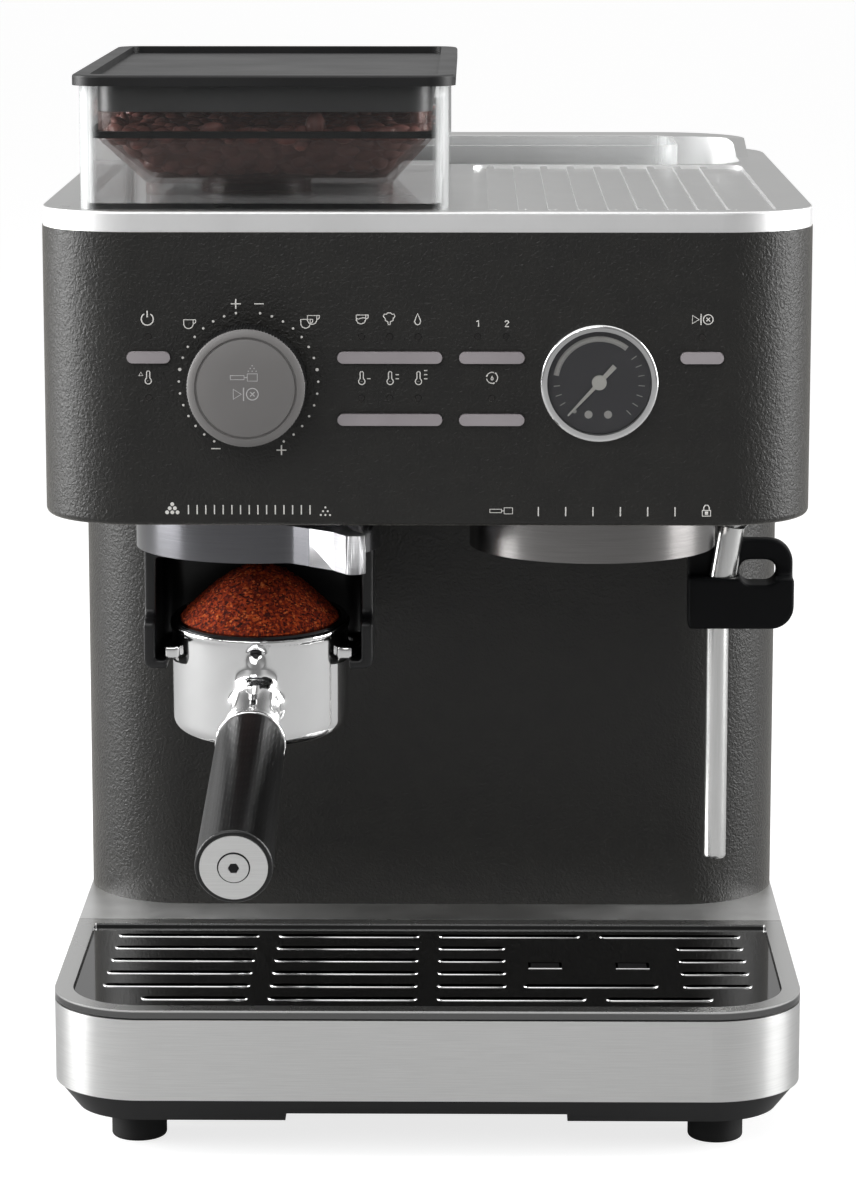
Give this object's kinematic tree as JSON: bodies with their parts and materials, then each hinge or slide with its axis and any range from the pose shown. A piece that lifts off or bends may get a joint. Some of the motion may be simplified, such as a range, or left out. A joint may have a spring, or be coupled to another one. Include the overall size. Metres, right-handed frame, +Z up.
{
  "type": "espresso machine with burr grinder",
  "caption": "Bench-top espresso machine with a built-in conical burr grinder, bean hopper, portafilter in its cradle, brew group, steam wand, drip tray and water tank.",
  "frame": {"origin": "on the standing surface, under the middle of the overall box", "axes": "+X to the right seen from the front, +Y to the back, +Z up"},
  "size_m": [0.284, 0.4514, 0.404],
  "materials": {
    "charcoal_paint": "pebbled satin paint",
    "charcoal_plastic": "moulded, fine grain",
    "brushed_steel": "brushed",
    "polished_steel": "satin to polished",
    "gunmetal": "satin gunmetal",
    "chrome": "polished",
    "black_plastic": "moulded satin black",
    "grey_cap": "satin warm grey",
    "dial_face": "matt dark grey print",
    "white_needle": "matt white",
    "clear_plastic": "clear, gloss",
    "smoked_plastic": "smoked, gloss",
    "indicator_lens": "gloss",
    "silicone": "matt",
    "foot_rubber": "matt",
    "coffee_bean": "roasted, slightly oily",
    "ground_bean": "loose grounds",
    "board_laminate": "solder mask",
    "burr_steel": "ground",
    "burr_alloy": "cast",
    "gear_nylon": "moulded",
    "bearing_bronze": "machined",
    "motor_steel": "zinc plated"
  },
  "bodies": {
    "machine": {"base_pan": "black_plastic", "feet": "foot_rubber", "base_deck": "brushed_steel", "column_shell": "charcoal_paint", "back_panel": "charcoal_plastic", "head_shell": "charcoal_paint", "head_floor": "charcoal_plastic", "top_plate": "polished_steel", "control_board": "board_laminate", "led_lenses": "indicator_lens", "gauge_bezel": "chrome", "gauge_dial": "dial_face", "gauge_lens": "clear_plastic", "grinder_housing": "black_plastic", "grinder_motor": "motor_steel", "burr_bearing": "bearing_bronze", "portafilter_cradle": "black_plastic", "group_collar": "brushed_steel", "group_head": "bearing_bronze", "shower_screen": "polished_steel", "thermoblock": "burr_alloy", "water_pump": "motor_steel", "power_inlet": "black_plastic"},
    "hopper": {"hopper_bin": "clear_plastic", "hopper_bowl": "smoked_plastic", "hopper_seal": "silicone", "coffee_beans": "coffee_bean"},
    "hopper_lid": {"hopper_lid": "black_plastic", "lid_plug": "smoked_plastic"},
    "knob_plunger": {"knob_plunger": "burr_steel"},
    "dose_knob": {"dose_knob": "black_plastic", "knob_cap": "grey_cap"},
    "gauge_needle": {"gauge_needle": "white_needle"},
    "adjust_ring": {"grind_adjust_ring": "gunmetal", "burr_carrier": "burr_alloy", "outer_burr": "burr_steel"},
    "burr": {"inner_burr": "burr_steel", "burr_shaft": "burr_steel", "drive_gear": "gear_nylon"},
    "motor_gear": {"motor_gear": "gear_nylon"},
    "portafilter": {"portafilter_bowl": "chrome", "filter_basket": "polished_steel", "ground_coffee": "ground_bean", "portafilter_handle": "black_plastic", "handle_end_cap": "polished_steel"},
    "drip_tray": {"drip_tray_front": "brushed_steel", "drip_tray_pan": "black_plastic"},
    "drip_grille": {"drip_grille": "polished_steel"},
    "tray_float": {"tray_float": "black_plastic"},
    "steam_socket": {"steam_socket": "chrome"},
    "steam_wand": {"steam_tube": "brushed_steel", "steam_grip": "silicone", "steam_tip": "brushed_steel"},
    "water_tank": {"water_tank": "clear_plastic"},
    "power_button": {"power_button": "grey_cap"},
    "program_button": {"program_button": "grey_cap"},
    "temperature_button": {"temperature_button": "grey_cap"},
    "shots_button": {"shots_button": "grey_cap"},
    "clean_button": {"clean_button": "grey_cap"},
    "start_button": {"start_button": "grey_cap"}
  },
  "joints": [
    {"name": "hopper_lift", "type": "slide", "parent": "machine", "child": "hopper", "axis": [0, 0, 1], "range_m": [0, 0.08]},
    {"name": "lid_lift", "type": "slide", "parent": "hopper", "child": "hopper_lid", "axis": [0, 0, 1], "range_m": [0, 0.06]},
    {"name": "knob_press", "type": "slide", "parent": "machine", "child": "knob_plunger", "axis": [0, 1, 0], "range_m": [0, 0.002], "stiffness_N_per_m": 900},
    {"name": "knob_turn", "type": "hinge", "parent": "knob_plunger", "child": "dose_knob", "pos_m": [-0.0645, -0.11435, 0.2938], "axis": [0, 1, 0], "range_deg": [-240, 60]},
    {"name": "needle_turn", "type": "hinge", "parent": "machine", "child": "gauge_needle", "pos_m": [0.0628, -0.10434, 0.2935], "axis": [0, 1, 0], "range_deg": [0, 270], "stiffness_Nm_per_rad": 0.0005},
    {"name": "grind_adjust", "type": "hinge", "parent": "machine", "child": "adjust_ring", "pos_m": [-0.0645, -0.03435, 0.232], "axis": [0, 0, 1], "range_deg": [-80, 0]},
    {"name": "burr_spin", "type": "hinge", "parent": "machine", "child": "burr", "pos_m": [-0.0645, -0.03435, 0.304], "axis": [0, 0, 1], "continuous": true},
    {"name": "motor_spin", "type": "hinge", "parent": "machine", "child": "motor_gear", "pos_m": [-0.0645, 0.02166, 0.304], "axis": [0, 0, 1], "continuous": true},
    {"name": "portafilter_slide", "type": "slide", "parent": "machine", "child": "portafilter", "axis": [0, -1, 0], "range_m": [0, 0.1]},
    {"name": "tray_slide", "type": "slide", "parent": "machine", "child": "drip_tray", "axis": [0, -1, 0], "range_m": [0, 0.13]},
    {"name": "grille_lift", "type": "slide", "parent": "drip_tray", "child": "drip_grille", "axis": [0, 0, 1], "range_m": [0, 0.03]},
    {"name": "float_rise", "type": "slide", "parent": "drip_tray", "child": "tray_float", "axis": [0, 0, 1], "range_m": [0, 0.005]},
    {"name": "steam_swivel", "type": "hinge", "parent": "machine", "child": "steam_socket", "pos_m": [0.1184, -0.00434, 0.236], "axis": [0, 0, 1], "range_deg": [-50, 50]},
    {"name": "steam_tilt", "type": "hinge", "parent": "steam_socket", "child": "steam_wand", "pos_m": [0.1184, -0.00434, 0.229], "axis": [1, 0, 0], "range_deg": [-40, 0]},
    {"name": "tank_lift", "type": "slide", "parent": "machine", "child": "water_tank", "axis": [0, 0, 1], "range_m": [0, 0.2]},
    {"name": "power_press", "type": "slide", "parent": "machine", "child": "power_button", "axis": [0, 1, 0], "range_m": [0, 0.0012], "stiffness_N_per_m": 500},
    {"name": "program_press", "type": "slide", "parent": "machine", "child": "program_button", "axis": [0, 1, 0], "range_m": [0, 0.0012], "stiffness_N_per_m": 500},
    {"name": "temperature_press", "type": "slide", "parent": "machine", "child": "temperature_button", "axis": [0, 1, 0], "range_m": [0, 0.0012], "stiffness_N_per_m": 500},
    {"name": "shots_press", "type": "slide", "parent": "machine", "child": "shots_button", "axis": [0, 1, 0], "range_m": [0, 0.0012], "stiffness_N_per_m": 500},
    {"name": "clean_press", "type": "slide", "parent": "machine", "child": "clean_button", "axis": [0, 1, 0], "range_m": [0, 0.0012], "stiffness_N_per_m": 500},
    {"name": "start_press", "type": "slide", "parent": "machine", "child": "start_button", "axis": [0, 1, 0], "range_m": [0, 0.0012], "stiffness_N_per_m": 500}
  ],
  "couplings": [
    {"joint": "motor_spin", "follows": "burr_spin", "ratio": -1.1538}
  ]
}
